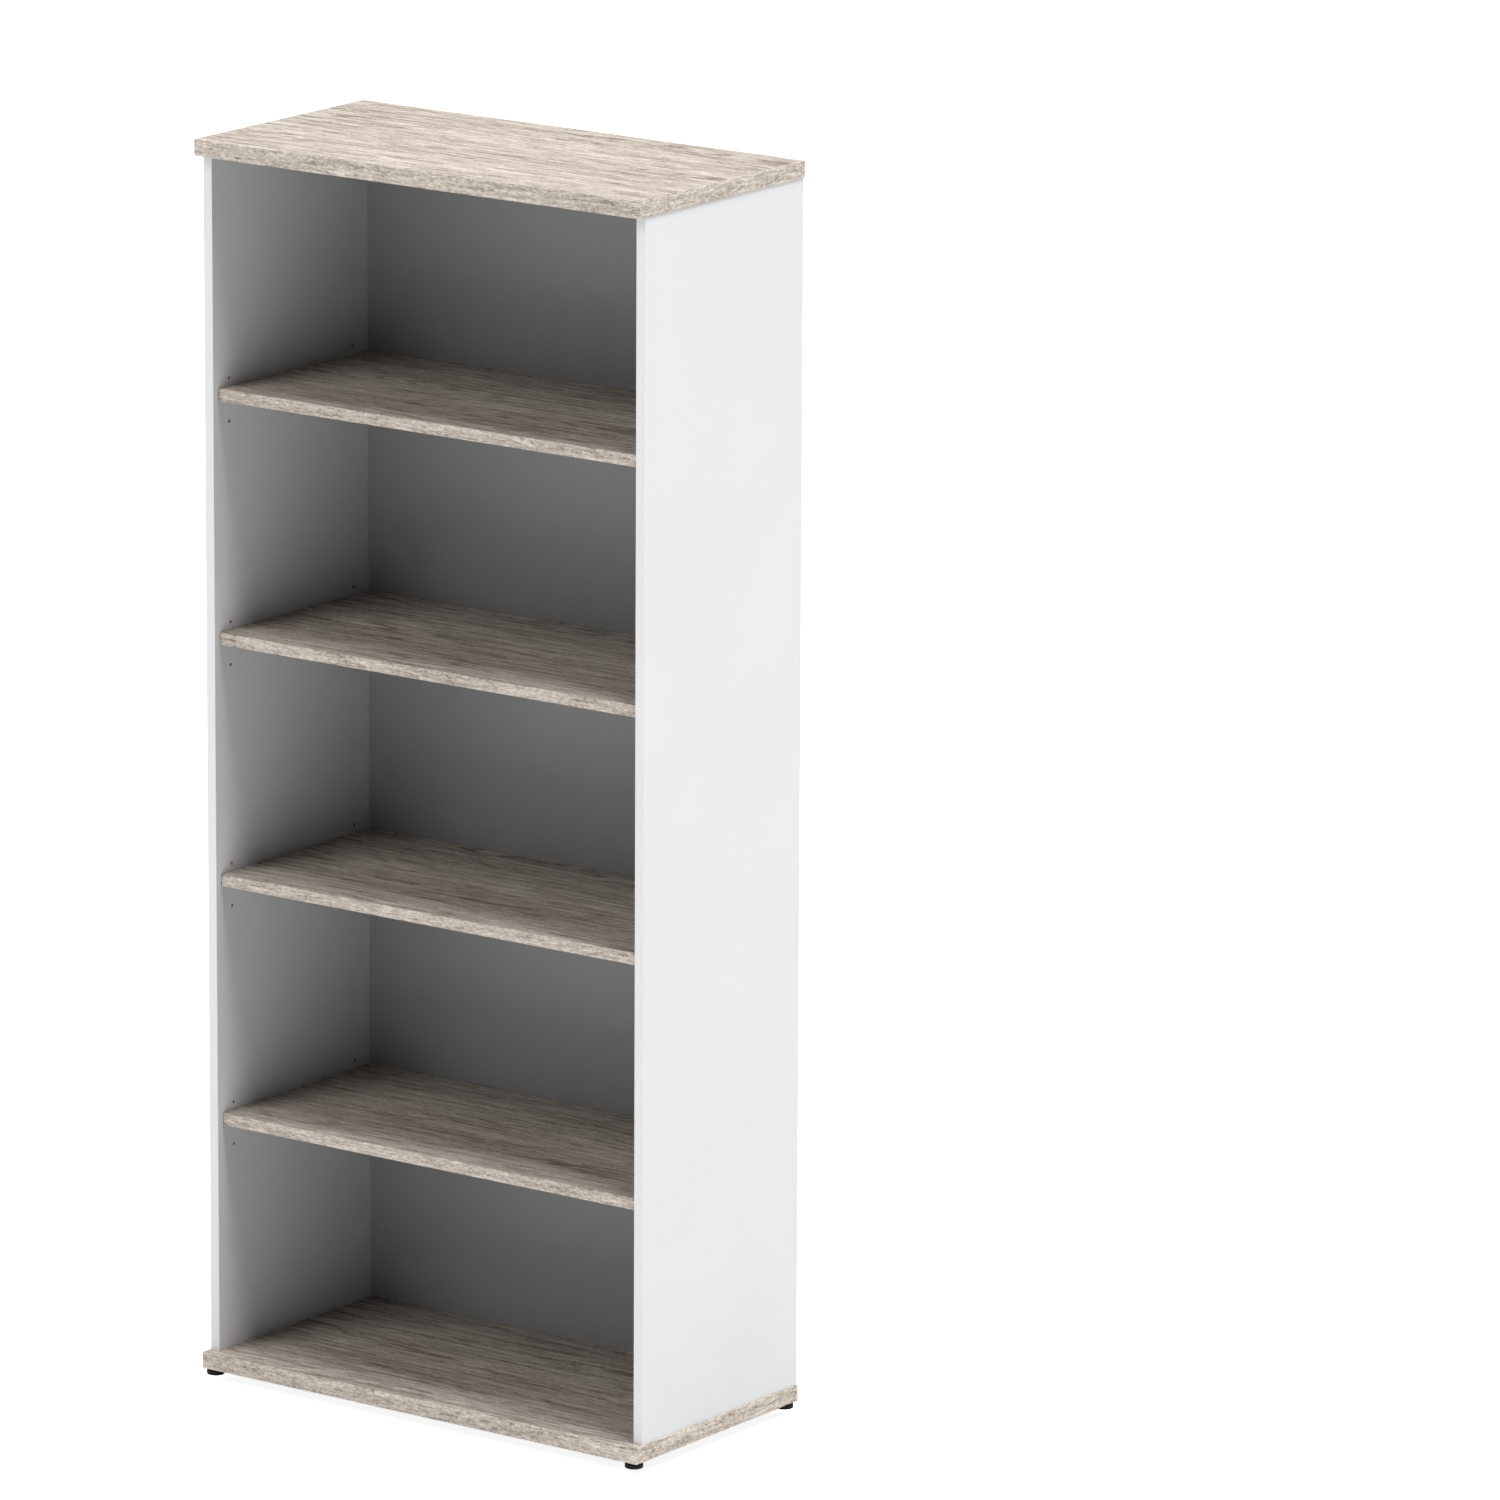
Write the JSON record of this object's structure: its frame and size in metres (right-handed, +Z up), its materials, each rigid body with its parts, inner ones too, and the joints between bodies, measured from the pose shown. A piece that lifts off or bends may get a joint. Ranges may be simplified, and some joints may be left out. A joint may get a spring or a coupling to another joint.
{
  "type": "bookcase with adjustable shelves",
  "caption": "Tall open bookcase: grey-oak top, base and height-adjustable shelves between white sides with a full back, on screw levelling feet.",
  "frame": {"origin": "on the floor, under the middle of the top panel", "axes": "+X to the right, +Y to the back (the open front faces -Y), +Z up"},
  "size_m": [0.8, 0.396, 1.856],
  "materials": {
    "oak_board": "satin wood-print melamine",
    "oak_band": "satin wood-print edging",
    "white_board": "fine-textured white melamine",
    "white_band": "satin white edging",
    "back_board": "matt pale grey melamine",
    "beech_dowel": "raw beech",
    "pin_steel": "nickel plated",
    "black_pad": "moulded satin black",
    "dark_steel": "black zinc",
    "insert_steel": "zinc plated"
  },
  "bodies": {
    "carcass": {"top_panel": "oak_board", "top_front_band": "oak_band", "top_rear_band": "oak_band", "top_left_band": "oak_band", "top_right_band": "oak_band", "base_panel": "oak_board", "base_front_band": "oak_band", "base_rear_band": "oak_band", "base_left_band": "oak_band", "base_right_band": "oak_band", "left_side_panel": "white_board", "left_side_band": "white_band", "right_side_panel": "white_board", "right_side_band": "white_band", "back_panel": "back_board", "top_dowels": "beech_dowel", "base_dowels": "beech_dowel", "foot_insert_front_left": "insert_steel", "foot_insert_front_right": "insert_steel", "foot_insert_rear_left": "insert_steel", "foot_insert_rear_right": "insert_steel"},
    "shelf_1": {"shelf_1_board": "oak_board", "shelf_1_band": "oak_band"},
    "shelf_2": {"shelf_2_board": "oak_board", "shelf_2_band": "oak_band"},
    "shelf_3": {"shelf_3_board": "oak_board", "shelf_3_band": "oak_band"},
    "shelf_4": {"shelf_4_board": "oak_board", "shelf_4_band": "oak_band"},
    "shelf_1_pin_front_left": {"shelf_1_pin_front_left": "pin_steel"},
    "shelf_1_pin_front_right": {"shelf_1_pin_front_right": "pin_steel"},
    "shelf_1_pin_rear_left": {"shelf_1_pin_rear_left": "pin_steel"},
    "shelf_1_pin_rear_right": {"shelf_1_pin_rear_right": "pin_steel"},
    "shelf_2_pin_front_left": {"shelf_2_pin_front_left": "pin_steel"},
    "shelf_2_pin_front_right": {"shelf_2_pin_front_right": "pin_steel"},
    "shelf_2_pin_rear_left": {"shelf_2_pin_rear_left": "pin_steel"},
    "shelf_2_pin_rear_right": {"shelf_2_pin_rear_right": "pin_steel"},
    "shelf_3_pin_front_left": {"shelf_3_pin_front_left": "pin_steel"},
    "shelf_3_pin_front_right": {"shelf_3_pin_front_right": "pin_steel"},
    "shelf_3_pin_rear_left": {"shelf_3_pin_rear_left": "pin_steel"},
    "shelf_3_pin_rear_right": {"shelf_3_pin_rear_right": "pin_steel"},
    "shelf_4_pin_front_left": {"shelf_4_pin_front_left": "pin_steel"},
    "shelf_4_pin_front_right": {"shelf_4_pin_front_right": "pin_steel"},
    "shelf_4_pin_rear_left": {"shelf_4_pin_rear_left": "pin_steel"},
    "shelf_4_pin_rear_right": {"shelf_4_pin_rear_right": "pin_steel"},
    "foot_pad_front_left": {"foot_pad_front_left": "black_pad"},
    "foot_stud_front_left": {"foot_stud_front_left": "dark_steel"},
    "foot_pad_front_right": {"foot_pad_front_right": "black_pad"},
    "foot_stud_front_right": {"foot_stud_front_right": "dark_steel"},
    "foot_pad_rear_left": {"foot_pad_rear_left": "black_pad"},
    "foot_stud_rear_left": {"foot_stud_rear_left": "dark_steel"},
    "foot_pad_rear_right": {"foot_pad_rear_right": "black_pad"},
    "foot_stud_rear_right": {"foot_stud_rear_right": "dark_steel"}
  },
  "joints": [
    {"name": "lift_shelf_1", "type": "slide", "parent": "carcass", "child": "shelf_1", "axis": [0, 0, 1], "range_m": [0, 0.344]},
    {"name": "lift_shelf_2", "type": "slide", "parent": "carcass", "child": "shelf_2", "axis": [0, 0, 1], "range_m": [0, 0.3375]},
    {"name": "lift_shelf_3", "type": "slide", "parent": "carcass", "child": "shelf_3", "axis": [0, 0, 1], "range_m": [0, 0.3375]},
    {"name": "lift_shelf_4", "type": "slide", "parent": "carcass", "child": "shelf_4", "axis": [0, 0, 1], "range_m": [0, 0.3375]},
    {"name": "pull_pin_1_front_left", "type": "slide", "parent": "carcass", "child": "shelf_1_pin_front_left", "axis": [1, 0, 0], "range_m": [0, 0.012]},
    {"name": "pull_pin_1_front_right", "type": "slide", "parent": "carcass", "child": "shelf_1_pin_front_right", "axis": [-1, 0, 0], "range_m": [0, 0.012]},
    {"name": "pull_pin_1_rear_left", "type": "slide", "parent": "carcass", "child": "shelf_1_pin_rear_left", "axis": [1, 0, 0], "range_m": [0, 0.012]},
    {"name": "pull_pin_1_rear_right", "type": "slide", "parent": "carcass", "child": "shelf_1_pin_rear_right", "axis": [-1, 0, 0], "range_m": [0, 0.012]},
    {"name": "pull_pin_2_front_left", "type": "slide", "parent": "carcass", "child": "shelf_2_pin_front_left", "axis": [1, 0, 0], "range_m": [0, 0.012]},
    {"name": "pull_pin_2_front_right", "type": "slide", "parent": "carcass", "child": "shelf_2_pin_front_right", "axis": [-1, 0, 0], "range_m": [0, 0.012]},
    {"name": "pull_pin_2_rear_left", "type": "slide", "parent": "carcass", "child": "shelf_2_pin_rear_left", "axis": [1, 0, 0], "range_m": [0, 0.012]},
    {"name": "pull_pin_2_rear_right", "type": "slide", "parent": "carcass", "child": "shelf_2_pin_rear_right", "axis": [-1, 0, 0], "range_m": [0, 0.012]},
    {"name": "pull_pin_3_front_left", "type": "slide", "parent": "carcass", "child": "shelf_3_pin_front_left", "axis": [1, 0, 0], "range_m": [0, 0.012]},
    {"name": "pull_pin_3_front_right", "type": "slide", "parent": "carcass", "child": "shelf_3_pin_front_right", "axis": [-1, 0, 0], "range_m": [0, 0.012]},
    {"name": "pull_pin_3_rear_left", "type": "slide", "parent": "carcass", "child": "shelf_3_pin_rear_left", "axis": [1, 0, 0], "range_m": [0, 0.012]},
    {"name": "pull_pin_3_rear_right", "type": "slide", "parent": "carcass", "child": "shelf_3_pin_rear_right", "axis": [-1, 0, 0], "range_m": [0, 0.012]},
    {"name": "pull_pin_4_front_left", "type": "slide", "parent": "carcass", "child": "shelf_4_pin_front_left", "axis": [1, 0, 0], "range_m": [0, 0.012]},
    {"name": "pull_pin_4_front_right", "type": "slide", "parent": "carcass", "child": "shelf_4_pin_front_right", "axis": [-1, 0, 0], "range_m": [0, 0.012]},
    {"name": "pull_pin_4_rear_left", "type": "slide", "parent": "carcass", "child": "shelf_4_pin_rear_left", "axis": [1, 0, 0], "range_m": [0, 0.012]},
    {"name": "pull_pin_4_rear_right", "type": "slide", "parent": "carcass", "child": "shelf_4_pin_rear_right", "axis": [-1, 0, 0], "range_m": [0, 0.012]},
    {"name": "level_foot_front_left", "type": "slide", "parent": "carcass", "child": "foot_pad_front_left", "axis": [0, 0, 1], "range_m": [-0.01, 0]},
    {"name": "turn_stud_front_left", "type": "hinge", "parent": "foot_pad_front_left", "child": "foot_stud_front_left", "pos_m": [-0.3855, -0.1845, 0], "axis": [0, 0, 1], "range_deg": [-2880, 0]},
    {"name": "level_foot_front_right", "type": "slide", "parent": "carcass", "child": "foot_pad_front_right", "axis": [0, 0, 1], "range_m": [-0.01, 0]},
    {"name": "turn_stud_front_right", "type": "hinge", "parent": "foot_pad_front_right", "child": "foot_stud_front_right", "pos_m": [0.3855, -0.1845, 0], "axis": [0, 0, 1], "range_deg": [-2880, 0]},
    {"name": "level_foot_rear_left", "type": "slide", "parent": "carcass", "child": "foot_pad_rear_left", "axis": [0, 0, 1], "range_m": [-0.01, 0]},
    {"name": "turn_stud_rear_left", "type": "hinge", "parent": "foot_pad_rear_left", "child": "foot_stud_rear_left", "pos_m": [-0.3855, 0.1845, 0], "axis": [0, 0, 1], "range_deg": [-2880, 0]},
    {"name": "level_foot_rear_right", "type": "slide", "parent": "carcass", "child": "foot_pad_rear_right", "axis": [0, 0, 1], "range_m": [-0.01, 0]},
    {"name": "turn_stud_rear_right", "type": "hinge", "parent": "foot_pad_rear_right", "child": "foot_stud_rear_right", "pos_m": [0.3855, 0.1845, 0], "axis": [0, 0, 1], "range_deg": [-2880, 0]}
  ],
  "couplings": [
    {"joint": "turn_stud_front_left", "follows": "level_foot_front_left", "rad_per_m": 5026.5},
    {"joint": "turn_stud_front_right", "follows": "level_foot_front_right", "rad_per_m": 5026.5},
    {"joint": "turn_stud_rear_left", "follows": "level_foot_rear_left", "rad_per_m": 5026.5},
    {"joint": "turn_stud_rear_right", "follows": "level_foot_rear_right", "rad_per_m": 5026.5}
  ]
}
